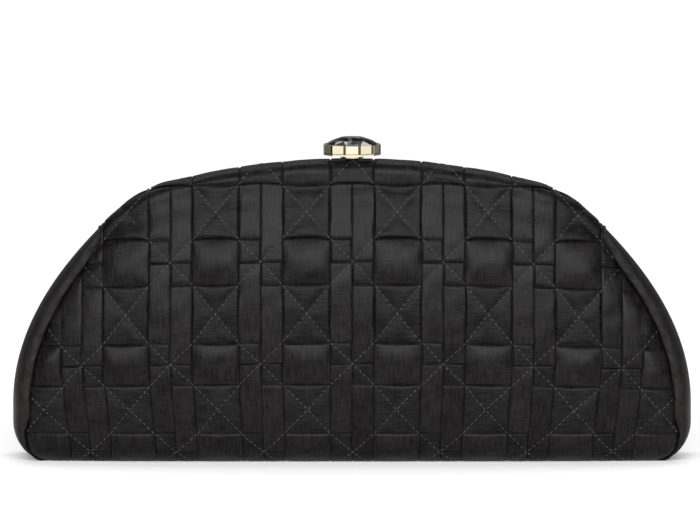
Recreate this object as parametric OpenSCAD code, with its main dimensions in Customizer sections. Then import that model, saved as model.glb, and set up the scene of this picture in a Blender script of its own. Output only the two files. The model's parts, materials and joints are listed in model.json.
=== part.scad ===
// Half-moon frame clutch purse: woven satin body, smooth side gussets, a hidden two-part
// hinged frame and a jewelled push-button clasp. Millimetres, +Z up, front towards -Y,
// origin at the middle of the base.

/* [Body] */
// Width across the gussets at the widest level
body_w = 300; // [264:1:336]
// Height of the closed frame's crown above the base
body_h = 132.4; // [122:0.1:160]
// Greatest depth of the filled body, front to rear
body_d = 54; // [46:1:65]
// Height of the widest and deepest level
belly_h = 25; // [21:0.5:30]
// Radius that rounds the lower corners of the outline
corner_r = 17; // [14:0.5:20]
// Depth of the flat base
base_d = 30; // [25:1:36]
// Depth between the two gusset seams at the widest level
seam_d = 40; // [34:1:46]
// Depth of the closed frame at its hinges
frame_d = 19; // [18.6:0.1:22]

/* [Frame] */
// Distance from the body's widest point in to the face of each outer hinge lug
hinge_in = 40.4; // [36:0.1:46]
// Height of the crown above the hinge axis
frame_rise = 34.4; // [30:0.1:40]
// How far the crown's arc has fallen where the hinges are
crown_drop = 19; // [15:0.5:21]
// Blend height that rounds the shoulders of the frame
shoulder = 6; // [3:0.5:9]
// Metal thickness of the frame channel
frame_t = 1.2; // [1:0.1:1.5]
// Length of the channel's side wall, measured down from the crown
web_h = 13; // [11:0.5:14]
// Radius of the hinge pins
pin_r = 1.5; // [1.2:0.1:1.8]
// Radial running clearance of pins and the button stem
run_gap = 0.05; // [0.03:0.01:0.1]

/* [Fabric] */
// Thickness of the woven outer panels with their wadding
panel_t = 2.4; // [2:0.1:2.8]
// Thickness of the cloth wrapped round the frame
sleeve_t = 1.6; // [1.4:0.05:1.7]
// Thickness of the gusset cloth
gusset_t = 1.4; // [1:0.1:1.8]
// Thickness of the stiffening boards
board_t = 0.8; // [0.6:0.1:1.2]
// Thickness of the lining cloth
lining_t = 0.8; // [0.5:0.1:1]
// How far a gusset bulges past the panel seam
reveal = 7.5; // [5:0.5:10]

/* [Clasp] */
// Radius of the bezel over its corners
bezel_r = 12.95; // [11:0.05:14]
// Height of the bezel
bezel_h = 4.6; // [4.2:0.1:6]
// Number of flats round the bezel
bezel_sides = 12; // [8:2:12]
// Height of the stone above the bezel floor
stone_h = 4.1; // [3.4:0.1:5]
// Travel of the push button
press_travel = 1.4; // [1.2:0.1:1.5]
// Radius of the button stem
stem_r = 1.5; // [1.2:0.1:1.7]
// Distance of the clasp axis behind the middle plane
clasp_y = 3.6; // [3.4:0.05:3.8]

/* [Hidden] */
$fn = 48;

satin = "#2b292b";
satin_side = "#34302f";
lining_colour = "#1d1b1d";
board_colour = "#8a7f6d";
gold = "#cdb988";
steel = "#b9b7b2";

half_body = body_w / 2;
frame_w = body_w - 2 * hinge_in;
crown_r = (pow(frame_w / 2, 2) + pow(crown_drop, 2)) / (2 * crown_drop);
hinge_z = body_h - frame_rise;
hinge_cover = 6;          // cloth outside the outer hinge lug, to the outline
side_x = frame_w / 2 + hinge_cover;
side_k = pow(hinge_z - belly_h, 2) / (half_body - side_x);
layer_gap = 0.15;         // free space between two sewn layers
base_board_t = 1.5;
split_gap = 0.3;          // free space between neighbouring pieces of one cloth
seam_low_d = 26;          // depth between the gusset seams at the base
sleeve_drop = 15.4;       // height of the sleeve at the middle of the crown
sleeve_z = body_h - sleeve_drop;
yoke_y = 11.5;            // half depth at the sleeve's lower edge
sleeve_x = frame_w / 2 + 1.6;
sleeve_side = frame_d / 2 + 0.1;
sleeve_ry = 5.6;          // outer rounding of the sleeve, along Y
sleeve_rz = 5.5;          // outer rounding of the sleeve, along Z
lip_r = 2;                // rounding of the sleeve's inner top edge
lip_drop = 3.2;           // length of the cloth turned down inside the frame
mid_gap = 0.3;            // from the middle plane to each closed half
panel_rise = 2;           // top of the rigid front panel above the hinge axis
panel_fall = 10.5;        // how much lower that top is at the seams
cols = 22;                // stations across the panel
rows = 14;                // stations up the panel
turn_rows = 5;            // how many of those go round the lower edge

// ---- outline and depth of the body ----

// Smallest of two heights, rounded over k where they cross.
function soft_min(a, b, k) = let (h = max(k - abs(a - b), 0) / k) min(a, b) - h * h * k / 4;
function crown_z(x) = body_h - crown_r + sqrt(crown_r * crown_r - x * x);
function slope_z(x) = belly_h + sqrt(max(0, side_k * (half_body - abs(x))));
function top_z(x) = soft_min(crown_z(x), slope_z(x), shoulder);

// Half width of the outline, gussets included.
function half_w(z) = z > belly_h ? half_body - pow(z - belly_h, 2) / side_k
    : z > corner_r ? half_body
    : half_body - corner_r + sqrt(pow(corner_r, 2) - pow(corner_r - z, 2));
function reveal_at(z) = reveal * min(1, z / 20) * max(0, min(1, (hinge_z + 7 - z) / 18));
function seam_x(z) = half_w(z) - reveal_at(z);

// Rounding of the lower edge: 0 at the base, 1 from the belly up.
function turn(z) = z >= belly_h ? 1 : sqrt(1 - pow((belly_h - z) / belly_h, 2));
// Half depth at the middle of the body.
function mid_y(z) = z < belly_h ? base_d / 2 + (body_d - base_d) / 2 * turn(z)
    : yoke_y + (body_d / 2 - yoke_y) * (1 - pow((z - belly_h) / (sleeve_z - belly_h), 2));
// Half depth at the gusset seams.
function seam_y(z) = z < belly_h ? seam_low_d / 2 + (seam_d - seam_low_d) / 2 * turn(z)
    : seam_d / 2 - (seam_d - frame_d) / 2 * (z - belly_h) / (hinge_z - belly_h);
// Fullness across the width: 1 at the middle, 0 at the seams.
function fullness(s) = 0.7 * pow(1 - pow(abs(s), 6), 0.8) + 0.3 * (1 - s * s);
function panel_y(s, z) = seam_y(z) + (mid_y(z) - seam_y(z)) * fullness(s);

// ---- lofted and swept solids ----

function mix(a, b, t) = a + (b - a) * t;
// Spacing that crowds towards both ends.
function crowd(u) = 0.6 * (0.5 - 0.5 * cos(180 * u)) + 0.4 * u;
function unit(v) = v / norm(v);
// Outward normal of surface f at (s, t), from differences kept inside the patch.
function surface_normal(f, s, t) = let (e = 0.002,
    ds = f(min(1, s + e), t) - f(max(-1, s - e), t),
    dt = f(s, min(1, t + e)) - f(s, max(0, t - e))) unit(cross(ds, dt));
// Grid of points on f, sunk below it by the given depth, at stations i across and j up.
function surface_grid(f, depth, ns, nt, i0, i1, j0, j1) = [for (i = [i0:i1]) [for (j = [j0:j1])
    let (s = 2 * crowd(i / ns) - 1, t = j / nt) f(s, t) - surface_normal(f, s, t) * depth]];

// Closed solid between two grids of points; outer is the side that faces away.
module between(outer, inner) {
    ns = len(outer) - 1;
    nt = len(outer[0]) - 1;
    row = nt + 1;
    shift = (ns + 1) * row;
    function at(i, j, side) = i * row + j + side * shift;
    quads = concat(
        [for (i = [0:ns - 1]) for (j = [0:nt - 1])
            [at(i, j, 0), at(i, j + 1, 0), at(i + 1, j + 1, 0), at(i + 1, j, 0)]],
        [for (i = [0:ns - 1]) for (j = [0:nt - 1])
            [at(i, j, 1), at(i + 1, j, 1), at(i + 1, j + 1, 1), at(i, j + 1, 1)]],
        [for (i = [0:ns - 1]) [at(i, 0, 0), at(i + 1, 0, 0), at(i + 1, 0, 1), at(i, 0, 1)]],
        [for (i = [0:ns - 1]) [at(i + 1, nt, 0), at(i, nt, 0), at(i, nt, 1), at(i + 1, nt, 1)]],
        [for (j = [0:nt - 1]) [at(0, j + 1, 0), at(0, j, 0), at(0, j, 1), at(0, j + 1, 1)]],
        [for (j = [0:nt - 1]) [at(ns, j, 0), at(ns, j + 1, 0), at(ns, j + 1, 1), at(ns, j, 1)]]);
    polyhedron(
        points = concat([for (r = outer) for (p = r) p], [for (r = inner) for (p = r) p]),
        faces = [for (q = quads) for (k = [1, 2]) [q[0], q[k], q[k + 1]]]);
}

// A layer of cloth or board that follows surface f, from depth near to depth far below it.
// It can leave out stations at the sides, at the low end and at the top.
module layer(f, near, far, ns, nt, side = 0, low = 0, top = 0) {
    between(surface_grid(f, near, ns, nt, side, ns - side, low, nt - top),
        surface_grid(f, far, ns, nt, side, ns - side, low, nt - top));
}

module rearward() { mirror([0, 1, 0]) children(); }
module leftward() { mirror([1, 0, 0]) children(); }

// ---- surfaces ----

// Top edge of the rigid panel, and lower edge of the sleeve, across the width.
function panel_top(s) = hinge_z + panel_rise - panel_fall * s * s;
function sleeve_low(x) = hinge_z + (sleeve_z - hinge_z) * (1 - pow(x / (side_x - 3.5), 2));
function row_z(t, top) = let (share = turn_rows / rows) t < share
    ? belly_h * (1 - cos(90 * t / share))
    : belly_h + (top - belly_h) * (t - share) / (1 - share);
function panel_point(s, z) = [s * seam_x(z), -panel_y(s, z), z];
panel_surface = function(s, t) panel_point(s, row_z(t, panel_top(s)));
yoke_surface = function(s, t) panel_point(s,
    mix(panel_top(s) + split_gap, sleeve_low(s * (side_x - 3)) - split_gap, t));

// Gusset: s runs from the front seam to the rear one, t up the outline from the base.
gusset_low_a = 7;         // where the gusset starts on the corner's rounding, in degrees
gusset_top = hinge_z + 1;
function gusset_z(t, top) = let (share = 0.3) t < share
    ? corner_r * (1 - cos(mix(gusset_low_a, 90, t / share)))
    : mix(corner_r, top, (t - share) / (1 - share));
function gusset_half(z) = seam_y(z) - panel_t - layer_gap;
function gusset_point(s, z, inset) = let (tuck = seam_x(z) - 0.5)
    [mix(tuck, half_w(z), pow(max(0, 1 - s * s), 0.6)), s * (gusset_half(z) - inset), z];
gusset_surface = function(s, t) gusset_point(s, gusset_z(t, gusset_top), 0);
gusset_lining_inset = panel_t - 0.2;
gusset_lining_surface = function(s, t)
    gusset_point(s, gusset_z(t, hinge_z - 5), gusset_lining_inset);

// ---- the frame's arch ----

arch_end = frame_w / 2 - 0.6;
arch_steps = 30;
function arch_x(i) = arch_end * sin(90 * (2 * i / arch_steps - 1));
function arch_normal(x) = let (e = 0.05) unit([top_z(x - e) - top_z(x + e), 2 * e]);
// Point at distance d inside the outline, at depth y.
function arch_point(x, y, d) = let (n = arch_normal(x)) [x - n[0] * d, y, top_z(x) - n[1] * d];

// Channel section as [depth from the middle, distance inside the outline].
web_out = sleeve_side - sleeve_t - 0.2;
web_in = web_out - frame_t;
flange_in = mid_gap + sleeve_t + 0.1;
channel_top = sleeve_t + 0.35;
channel_out = [[flange_in, channel_top], [flange_in + 3, channel_top + 0.1],
    [web_out - 0.8, channel_top + 1.6], [web_out, channel_top + 3.3], [web_out, web_h]];
channel_in = [[flange_in, channel_top + frame_t], [flange_in + 2.8, channel_top + 0.1 + frame_t],
    [web_in - 0.4, channel_top + 1.3 + frame_t], [web_in, channel_top + 2.5 + frame_t],
    [web_in, web_h]];
lug_t = 1.5;
lug_r = 3.5;
lug_side_gap = 0.1;
foot_rise = 1;            // top of the lug's foot above the hinge axis
foot_w = 10;

module channel() {
    between(
        [for (i = [0:arch_steps]) [for (k = [4:-1:0])
            arch_point(arch_x(i), -channel_out[k][0], channel_out[k][1])]],
        [for (i = [0:arch_steps]) [for (k = [4:-1:0])
            arch_point(arch_x(i), -channel_in[k][0], channel_in[k][1])]]);
}

// Hinge lug whose outer face is at x, on the right of the front half.
module lug(x) {
    translate([x - foot_w, -web_out, hinge_z - lug_r]) cube([foot_w, frame_t, lug_r + foot_rise]);
    translate([x - lug_t, -web_out, hinge_z - lug_r]) cube([lug_t, web_out, lug_r + foot_rise]);
    translate([x - lug_t, 0, hinge_z]) rotate([0, 90, 0]) cylinder(r = lug_r, h = lug_t);
}

module lug_bore(x) {
    translate([x - lug_t - 1, 0, hinge_z]) rotate([0, 90, 0])
        cylinder(r = pin_r + run_gap, h = lug_t + 2);
}

// One half of the frame, drawn on the front side; lug_x is the lugs' outer face.
module half_frame(lug_x) {
    difference() {
        union() {
            channel();
            for (side = [0, 1]) mirror([side, 0, 0]) lug(lug_x);
            children(0);
        }
        for (side = [0, 1]) mirror([side, 0, 0]) lug_bore(lug_x);
        children(1);
    }
}

inner_lug_x = frame_w / 2 - lug_t - lug_side_gap;
outer_lug_x = frame_w / 2;

// ---- levels of the clasp ----

washer_t = 0.4;
washer_r = 3.2;
bush_wall = 0.7;
bush_r = stem_r + bush_wall;
bush_head_r = 5.2;
bush_head_t = 1.2;
bush_head_z = body_h + washer_t;
bezel_z = bush_head_z + bush_head_t + 0.2;
bezel_floor_t = 0.9;
bezel_wall = 0.9;
bezel_turn = 3.5;         // turn of the bezel's corners about its axis, in degrees
floor_z = bezel_z + bezel_h - 0.9 - bezel_floor_t;
pad_t = 1.8;
pad_top = body_h - sleeve_t - 0.7;
pad_w = 16;
pad_near = 0.9;
pad_far = 6;
lock_ring_t = 0.8;
hook_t = 1.2;
hook_w = 5.6;
hook_lip_t = 0.8;
hook_lip_h = 1.2;
hook_reach = 5.3;         // from the clasp axis to the front of the hook
neck_r = 1;
clip_r = 1.9;
clip_t = 0.8;
keeper_t = 0.6;
keeper_gap = 0.3;         // from the frame's side wall to the leaf
keeper_w = 12;
keeper_arm_w = 8;
keeper_arm_top = body_h - channel_top - frame_t - 1.85;
keeper_low = body_h - 11.5;
keeper_lip_y = 0.3;
latch_gap = 0.2;          // from the hook's lip to the leaf above it
hook_top = keeper_arm_top - keeper_t - latch_gap - hook_lip_h;
keeper_lip_low = hook_top + hook_lip_h - 1;
rivet_r = 0.75;
rivet_head_r = 1.3;
rivet_x = 4.4;
rivet_z = body_h - 9.5;

// ---- soft pieces of the body ----

// Flat piece between the lower edges of the panels, smaller than that outline by inset.
module base_slab(z, thick, inset, end_inset) {
    edge = [for (i = [0:cols]) let (s = 2 * crowd(i / cols) - 1)
        [s * (seam_x(0) - end_inset), inset - panel_y(s, 0)]];
    translate([0, 0, z]) linear_extrude(thick)
        polygon(concat(edge, [for (i = [cols:-1:0]) [edge[i][0], -edge[i][1]]]));
}

module front_panel() { color(satin) layer(panel_surface, 0, panel_t, cols, rows); }
module front_yoke() { color(satin) layer(yoke_surface, 0, panel_t - 0.4, 20, 3); }
module front_board() {
    near = panel_t + layer_gap;
    color(board_colour) layer(panel_surface, near, near + board_t, cols, rows, 1, turn_rows, 1);
}

lining_near = panel_t + board_t + 2 * layer_gap;
lining_far = lining_near + lining_t;
module lining_front() {
    color(lining_colour) layer(panel_surface, lining_near, lining_far, cols, rows, 1, 1);
}

// Upper lining, from the top of the lower lining to the inside of the frame's side wall.
lining_span = 0.88;
lining_lap = 1.2;         // overlap of the upper lining with the frame's side wall
lining_yoke_surface = function(s, t) let (
    q = s * lining_span,
    low_z = panel_top(q) + split_gap,
    low = panel_point(q, low_z) + [0, lining_near, 0],
    knee = arch_point(q * arch_end, -web_in + split_gap, web_h + 1.2),
    high = arch_point(q * arch_end, -web_in + split_gap, web_h - lining_lap),
    sag = [0, -0.9 * sin(180 * t / 0.75), 0])
    t <= 0.75 ? mix(low, knee, t / 0.75) + sag : mix(knee, high, (t - 0.75) / 0.25);
module lining_yoke_front() {
    color(lining_colour) layer(lining_yoke_surface, 0, lining_t, 18, 4);
}

// The pocket lies on the rear lining, drawn on the front side and mirrored.
module slip_pocket() {
    near = lining_far + layer_gap;
    color(lining_colour) layer(panel_surface, near, near + lining_t, cols, rows, 7, turn_rows + 1, 3);
}

module gusset_right() { color(satin_side) layer(gusset_surface, 0, gusset_t, 12, 12); }
module lining_gusset_right() {
    near = gusset_t + layer_gap;
    color(lining_colour) layer(gusset_lining_surface, near, near + lining_t, 12, 12, 0, 1);
}

// ---- frame and its cloth ----

// Section of the cloth round the front half at x, sunk by d: up the front, over, and in.
function sleeve_path(x, d) = let (
    top = top_z(x),
    low = sleeve_low(x),
    edge = panel_y(x / seam_x(low), low),
    round_y = sleeve_side - sleeve_ry,
    round_z = top - sleeve_rz) concat(
    [[-(edge - d), low], [-(mix(edge, sleeve_side, 0.6) - d), mix(low, round_z, 0.6)]],
    [for (a = [0:18:90]) [-(round_y + (sleeve_ry - d) * cos(a)), round_z + (sleeve_rz - d) * sin(a)]],
    [for (a = [0:30:90])
        [-(mid_gap + lip_r - (lip_r - d) * sin(a)), top - lip_r + (lip_r - d) * cos(a)]],
    [[-(mid_gap + d), top - max(lip_r + 0.05, min(lip_drop, top - hinge_z - lug_r - 0.4))]]);
sleeve_steps = 26;
function sleeve_grid(d) = [for (i = [0:sleeve_steps])
    let (x = sleeve_x * (2 * crowd(i / sleeve_steps) - 1)) [for (p = sleeve_path(x, d)) [x, p[0], p[1]]]];
module sleeve() { between(sleeve_grid(0), sleeve_grid(sleeve_t)); }

module front_sleeve() { color(satin) sleeve(); }
module rear_sleeve() {
    color(satin) difference() {
        rearward() sleeve();
        translate([-pad_w / 2 - 0.5, 0, pad_top - 4]) cube([pad_w + 1, flange_in + 0.2, 4.3]);
        translate([0, clasp_y, body_h - 4]) cylinder(r = bush_r + 0.15, h = 8);
    }
}

module front_frame() {
    color(gold) half_frame(inner_lug_x) {
        union() {}
        for (x = [-rivet_x, rivet_x]) translate([x, -web_out - 1, rivet_z])
            rotate([-90, 0, 0]) cylinder(r = rivet_r + run_gap, h = frame_t + 2);
    }
}

// The rear half carries the clasp's pad and its bore.
module rear_frame() {
    color(gold) rearward() half_frame(outer_lug_x) {
        translate([-pad_w / 2, -pad_far, pad_top - pad_t])
            cube([pad_w, pad_far - pad_near, pad_t]);
        union() {
            translate([0, -clasp_y, pad_top - pad_t - 1]) cylinder(r = bush_r + run_gap, h = pad_t + 3);
            translate([0, -clasp_y, pad_top - pad_t - lock_ring_t - 0.2])
                cylinder(r = bush_r + 0.6, h = lock_ring_t + 0.2);
        }
    }
}

// Rivet that both halves turn on, with a head at each end.
module hinge_pin_right() {
    head_r = pin_r + 0.9;
    head_t = 0.9;
    start = inner_lug_x - lug_t - lug_side_gap;
    finish = outer_lug_x + lug_side_gap;
    color(gold) translate([start, 0, hinge_z]) rotate([0, 90, 0]) union() {
        cylinder(r = pin_r, h = finish - start);
        translate([0, 0, -head_t]) cylinder(r = head_r, h = head_t);
        translate([0, 0, finish - start]) cylinder(r = head_r, h = head_t);
    }
}

// ---- clasp ----

module ring(r_out, r_in, z, h) {
    translate([0, clasp_y, z]) difference() {
        cylinder(r = r_out, h = h);
        translate([0, 0, -1]) cylinder(r = r_in, h = h + 2);
    }
}

module clasp_washer() { color("#3a2f28") ring(washer_r, bush_r + run_gap, body_h, washer_t); }
module clasp_lock_ring() {
    color(steel) ring(bush_r + 0.4, bush_r + 0.02, pad_top - pad_t - lock_ring_t, lock_ring_t);
}

module clasp_bush() {
    low = pad_top - pad_t - lock_ring_t;
    color(gold) translate([0, clasp_y, 0]) difference() {
        union() {
            translate([0, 0, low]) cylinder(r = bush_r, h = bush_head_z - low + 0.1);
            translate([0, 0, bush_head_z]) cylinder(r = bush_head_r, h = bush_head_t - 0.3);
            translate([0, 0, bush_head_z + bush_head_t - 0.3])
                cylinder(r1 = bush_head_r, r2 = bush_head_r - 0.3, h = 0.3);
        }
        translate([0, 0, low - 1]) cylinder(r = stem_r + run_gap, h = bush_head_z - low + 4);
    }
}

// Coil between the bush's head and the bezel's floor.
spring_wire = 0.2;
spring_coil_r = stem_r + 0.9;
spring_turns = 3;
spring_steps = 14;
module clasp_spring() {
    low = bush_head_z + bush_head_t + spring_wire + 0.02;
    high = floor_z - spring_wire - 0.02;
    sides = 6;
    count = spring_turns * spring_steps;
    rings = [for (i = [0:count]) let (a = 360 * i / spring_steps, z = mix(low, high, i / count))
        [for (k = [0:sides - 1]) let (b = 360 * k / sides, r = spring_coil_r + spring_wire * cos(b))
            [r * cos(a), r * sin(a), z + spring_wire * sin(b)]]];
    function at(i, k) = i * sides + k % sides;
    color(steel) translate([0, clasp_y, 0]) polyhedron(
        points = [for (r = rings) for (p = r) p],
        faces = concat(
            [for (i = [0:count - 1]) for (k = [0:sides - 1]) [at(i, k), at(i, k + 1), at(i + 1, k + 1)]],
            [for (i = [0:count - 1]) for (k = [0:sides - 1]) [at(i, k), at(i + 1, k + 1), at(i + 1, k)]],
            [[for (k = [sides - 1:-1:0]) at(0, k)]],
            [[for (k = [0:sides - 1]) at(count, k)]]));
}

module flats(r, z, h, turned = 0) {
    translate([0, clasp_y, z]) rotate([0, 0, 180 / bezel_sides + bezel_turn + turned])
        cylinder(r = r, h = h, $fn = bezel_sides);
}

module bezel() {
    skirt_in = (bezel_r - 1.9) * cos(180 / bezel_sides);
    color(gold) difference() {
        union() {
            flats(bezel_r, bezel_z, bezel_h);
        }
        translate([0, clasp_y, bezel_z - 1]) cylinder(r = skirt_in, h = floor_z - bezel_z + 1);
        flats(bezel_r - bezel_wall, floor_z + bezel_floor_t, bezel_h);
        translate([0, clasp_y, floor_z - 1]) cylinder(r = stem_r + 0.01, h = 4);
    }
}

// Rose-cut stone: girdle, one turned crown row and a table.
module jewel() {
    girdle_r = bezel_r - bezel_wall - 0.1;
    low = floor_z + bezel_floor_t;
    thin = 0.05;
    color("#3b3d40") hull() {
        flats(girdle_r, low, 1);
        flats(girdle_r * 0.73, low + stone_h * 0.68 - thin, thin, 180 / bezel_sides);
        flats(girdle_r * 0.4, low + stone_h - thin, thin);
    }
}

module button_stem() {
    color(gold) translate([0, clasp_y, 0]) union() {
        translate([0, 0, hook_top]) cylinder(r = stem_r, h = floor_z + bezel_floor_t - hook_top);
        translate([0, 0, hook_top - hook_t - clip_t]) cylinder(r = neck_r, h = hook_t + clip_t + 0.1);
    }
}

module latch_hook() {
    color(steel) difference() {
        translate([-hook_w / 2, clasp_y - hook_reach, hook_top - hook_t]) union() {
            cube([hook_w, hook_reach + 2.4, hook_t]);
            cube([hook_w, hook_lip_t, hook_t + hook_lip_h]);
        }
        translate([0, clasp_y, hook_top - hook_t - 1]) cylinder(r = neck_r + 0.01, h = hook_t + 2);
    }
}

module latch_clip() { color(steel) ring(clip_r, neck_r + 0.01, hook_top - hook_t - clip_t, clip_t); }

// Spring leaf on the front half: back plate, arm, and the lip that the hook holds.
module keeper() {
    back_y = -web_in + keeper_gap;
    color(steel) difference() {
        union() {
            translate([-keeper_w / 2, back_y, keeper_low])
                cube([keeper_w, keeper_t, keeper_arm_top - keeper_low]);
            translate([-keeper_arm_w / 2, back_y, keeper_arm_top - keeper_t])
                cube([keeper_arm_w, keeper_lip_y + keeper_t - back_y, keeper_t]);
            translate([-keeper_arm_w / 2, keeper_lip_y, keeper_lip_low])
                cube([keeper_arm_w, keeper_t, keeper_arm_top - keeper_lip_low]);
        }
        for (x = [-rivet_x, rivet_x]) translate([x, back_y - 1, rivet_z])
            rotate([-90, 0, 0]) cylinder(r = rivet_r + run_gap, h = keeper_t + 3);
    }
}

module keeper_rivets() {
    back_y = -web_in + keeper_gap;
    head_t = 0.6;
    grip = frame_t + keeper_gap + keeper_t;
    color(gold) for (x = [-rivet_x, rivet_x]) translate([x, -web_out, rivet_z]) rotate([-90, 0, 0]) {
        cylinder(r = rivet_r, h = grip);
        translate([0, 0, -head_t]) cylinder(r = rivet_head_r, h = head_t);
        translate([0, 0, grip]) cylinder(r = rivet_head_r, h = head_t);
    }
}

// ---- the parts ----

color(satin_side) base_slab(0, panel_t, split_gap, -1);  // base_panel
color(board_colour) base_slab(panel_t + layer_gap, base_board_t, split_gap, 1);  // base_board
front_panel();
rearward() front_panel();  // rear_panel
front_yoke();
rearward() front_yoke();  // rear_yoke
front_board();
rearward() front_board();  // rear_board
leftward() gusset_right();  // gusset_left
gusset_right();
lining_front();
rearward() lining_front();  // lining_rear
color(lining_colour)  // lining_base
        base_slab(panel_t + base_board_t + 2 * layer_gap, lining_t, -0.2, 1.5);
leftward() lining_gusset_right();  // lining_gusset_left
lining_gusset_right();
lining_yoke_front();
rearward() lining_yoke_front();  // lining_yoke_rear
rearward() slip_pocket();
leftward() hinge_pin_right();  // hinge_pin_left
hinge_pin_right();
front_frame();
front_sleeve();
keeper();
keeper_rivets();
rear_frame();
rear_sleeve();
clasp_washer();
clasp_bush();
clasp_lock_ring();
clasp_spring();
bezel();
jewel();
button_stem();
latch_hook();
latch_clip();
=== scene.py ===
import json
import math
from functools import partial

import bmesh
import bpy
import numpy as np
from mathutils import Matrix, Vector

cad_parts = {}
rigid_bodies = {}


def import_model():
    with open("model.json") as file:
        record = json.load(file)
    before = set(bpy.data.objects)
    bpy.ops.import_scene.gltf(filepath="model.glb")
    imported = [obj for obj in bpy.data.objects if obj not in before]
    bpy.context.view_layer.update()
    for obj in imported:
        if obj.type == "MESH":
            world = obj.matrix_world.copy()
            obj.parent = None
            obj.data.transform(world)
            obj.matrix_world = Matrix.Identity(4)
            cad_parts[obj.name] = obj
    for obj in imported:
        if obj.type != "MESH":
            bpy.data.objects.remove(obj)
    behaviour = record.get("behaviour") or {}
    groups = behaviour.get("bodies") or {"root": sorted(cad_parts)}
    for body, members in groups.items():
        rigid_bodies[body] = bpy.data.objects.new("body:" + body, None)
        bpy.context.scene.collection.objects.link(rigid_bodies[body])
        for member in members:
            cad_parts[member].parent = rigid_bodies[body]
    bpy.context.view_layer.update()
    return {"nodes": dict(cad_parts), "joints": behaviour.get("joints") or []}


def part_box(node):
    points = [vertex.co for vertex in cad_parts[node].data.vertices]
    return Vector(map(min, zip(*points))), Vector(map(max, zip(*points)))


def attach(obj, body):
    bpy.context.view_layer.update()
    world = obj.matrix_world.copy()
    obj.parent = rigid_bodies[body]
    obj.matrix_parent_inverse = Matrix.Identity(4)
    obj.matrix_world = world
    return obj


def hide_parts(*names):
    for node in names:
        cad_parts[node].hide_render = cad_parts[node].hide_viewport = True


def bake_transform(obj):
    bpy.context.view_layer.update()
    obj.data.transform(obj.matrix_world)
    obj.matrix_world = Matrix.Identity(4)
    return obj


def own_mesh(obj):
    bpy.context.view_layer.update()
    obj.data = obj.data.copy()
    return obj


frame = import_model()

# Half-moon frame clutch: satin ribbons woven over wadded panels, smooth side gussets, a hidden
# hinged frame and a jewelled push button. Lengths in this file are millimetres until a mesh is made.

MM = 0.001
TURN = 6.283                             # a full turn, as the cloth's waves take it
SIDES = (("front", "front_half"), ("rear", "rear_half"))


def unit(v):
    return v / np.maximum(np.linalg.norm(v, axis=-1, keepdims=True), 1e-9)


def grid(a, b):
    return np.meshgrid(a, b, indexing="ij")


def rounded(n, reach=1.0):
    """Values from -1 to 1, closer together at the ends."""
    return np.sin(np.linspace(-reach, reach, n) * math.pi / 2)


def add_object(name, data):
    obj = bpy.data.objects.new(name, data)
    bpy.context.collection.objects.link(obj)
    return obj


def shade_smooth(mesh):
    mesh.polygons.foreach_set("use_smooth", [True] * len(mesh.polygons))


def low(node):
    return np.array(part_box(node)[0]) / MM


def high(node):
    return np.array(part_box(node)[1]) / MM


# ---- the body's own measures ----

HALF = high("gusset_right")[0]           # half the width over the gussets
CROWN = high("front_sleeve")[2]          # top of the closed frame's cloth
DEEP = high("rear_panel")[1]             # half depth at the fullest level
BASE_Y = high("base_panel")[1] + 0.3     # half depth of the base
BELLY = 25.0                             # widest and fullest level
CORNER = 17.0                            # rounding of the lower corners
HINGE = (low("hinge_pin_right")[2] + high("hinge_pin_right")[2]) / 2
SLEEVE_T, SIDE_ROOM = 1.6, 6.0           # cloth over the frame, and from it out to the side's arc
SIDE_X = high("front_frame")[0] + SLEEVE_T + SIDE_ROOM
SIDE_K = (HINGE - BELLY) ** 2 / (HALF - SIDE_X)
ARC_HALF = high("rear_frame")[0]
ARC_DROP = 19.0
ARC_R = (ARC_HALF ** 2 + ARC_DROP ** 2) / (2 * ARC_DROP)
FRAME_Y = 9.6                            # half depth of the cloth over the frame
SLEEVE_END = high("front_sleeve")[0]
SLEEVE_LOW = CROWN - 15.4
ROUND_Y, ROUND_Z = 5.6, 5.5              # outer rounding of the cloth over the frame
LIP = 2.0                                # inner rounding of that cloth
MID_GAP = 0.3                            # from the middle plane to the closed lips
YOKE_Y = 11.5                            # half depth where the panel meets the frame's cloth
CLASP = (low("bezel") + high("bezel")) / 2


def clamp01(t):
    return np.clip(t, 0.0, 1.0)


def smooth(t):
    t = clamp01(t)
    return t * t * (3 - 2 * t)


def mix(a, b, t):
    return a + (b - a) * t


def top_z(x):
    x = np.abs(x)
    crown = CROWN - ARC_R + np.sqrt(ARC_R ** 2 - x * x)
    slope = BELLY + np.sqrt(np.maximum(0, SIDE_K * (HALF - x)))
    h = np.maximum(6 - np.abs(crown - slope), 0) / 6
    return np.minimum(crown, slope) - h * h * 1.5


def half_w(z):
    upper = HALF - (z - BELLY) ** 2 / SIDE_K
    up = CORNER - np.minimum(z, CORNER)
    corner = HALF - CORNER + np.sqrt(np.maximum(0, CORNER ** 2 - up ** 2))
    return np.where(z > BELLY, upper, np.where(z > CORNER, HALF, corner))


def seam_x(z):
    reveal = 7.5 * np.minimum(1, z / 20) * clamp01((HINGE + 7 - z) / 18)
    return half_w(z) - reveal


def turned(z):
    return np.sqrt(np.maximum(0, 1 - ((BELLY - np.minimum(z, BELLY)) / BELLY) ** 2))


def mid_y(z):
    climb = clamp01((z - BELLY) / (SLEEVE_LOW - BELLY))
    upper = YOKE_Y + (DEEP - YOKE_Y) * (1 - climb ** 2)
    return np.where(z < BELLY, BASE_Y + (DEEP - BASE_Y) * turned(z), upper)


def seam_y(z):
    upper = np.maximum(20 - 10.5 * (z - BELLY) / (HINGE - BELLY), 9.5)
    return np.where(z < BELLY, 13 + 7 * turned(z), upper)


def panel_y(s, z):
    s = np.clip(s, -1, 1)
    full = 0.7 * (1 - np.abs(s) ** 6) ** 0.8 + 0.3 * (1 - s * s)
    return seam_y(z) + (mid_y(z) - seam_y(z)) * full


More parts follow.
